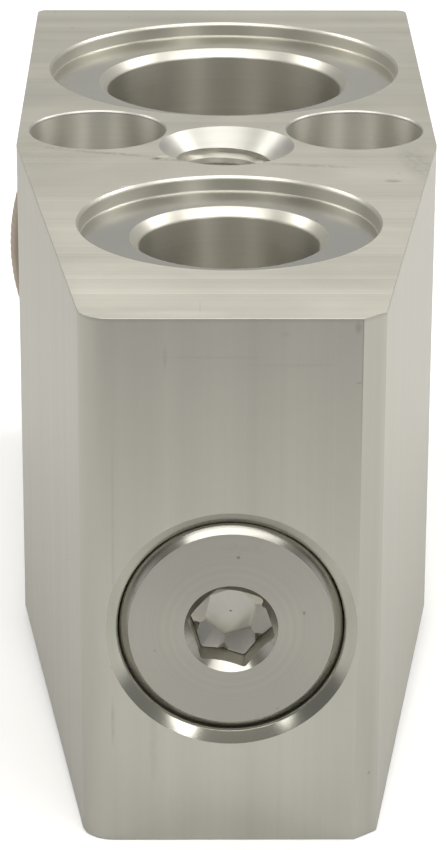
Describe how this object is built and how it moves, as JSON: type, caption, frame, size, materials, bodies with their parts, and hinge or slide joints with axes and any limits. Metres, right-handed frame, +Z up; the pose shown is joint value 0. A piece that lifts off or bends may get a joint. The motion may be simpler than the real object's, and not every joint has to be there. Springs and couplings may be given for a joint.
{
  "type": "block expansion valve",
  "caption": "Machined aluminium block valve with suction and liquid ports, bolt holes, a screwed adjusting plug and a round power head that meters refrigerant.",
  "frame": {"origin": "centre of the footprint, level with the lowest point of the power head's rim; the block's underside is 3 mm above it", "axes": "+Z up, out of the hose face with its ports; +Y back along the valve axis to the power head, -Y is the face with the adjusting plug; +X to the right seen from the plug"},
  "size_m": [0.038, 0.091, 0.0414],
  "materials": {
    "block_aluminium": "machined and brushed",
    "turned_steel": "turned",
    "head_steel": "pressed, satin",
    "spring_steel": "satin",
    "polished_steel": "polished",
    "rod_aluminium": "turned",
    "seal_rubber": "matt"
  },
  "bodies": {
    "valve_body": {"valve_block": "block_aluminium", "head_base": "head_steel", "head_cap": "head_steel", "charge_plug": "turned_steel", "diaphragm": "head_steel", "head_seal": "seal_rubber", "rod_seal": "seal_rubber", "seal_clip": "spring_steel"},
    "valve_train": {"diaphragm_stop": "rod_aluminium", "feeler_rod": "rod_aluminium", "push_pin": "polished_steel", "valve_ball": "polished_steel", "ball_carrier": "turned_steel", "damping_spring": "spring_steel"},
    "adjuster_slide": {"adjuster_seal": "seal_rubber", "bias_spring": "spring_steel"},
    "adjuster": {"adjusting_plug": "turned_steel"}
  },
  "joints": [
    {"name": "valve_lift", "type": "slide", "parent": "valve_body", "child": "valve_train", "axis": [0, -1, 0], "range_m": [0, 0.0005], "stiffness_N_per_m": 1500, "deforming": ["bias_spring", "diaphragm"]},
    {"name": "adjuster_travel", "type": "slide", "parent": "valve_body", "child": "adjuster_slide", "axis": [0, 1, 0], "range_m": [-0.001, 0.001]},
    {"name": "adjuster_turn", "type": "hinge", "parent": "adjuster_slide", "child": "adjuster", "pos_m": [0, -0.0455, 0.019], "axis": [0, 1, 0], "range_deg": [-360, 360]}
  ],
  "couplings": [
    {"joint": "adjuster_travel", "follows": "adjuster_turn", "m_per_rad": 0.00015915}
  ]
}
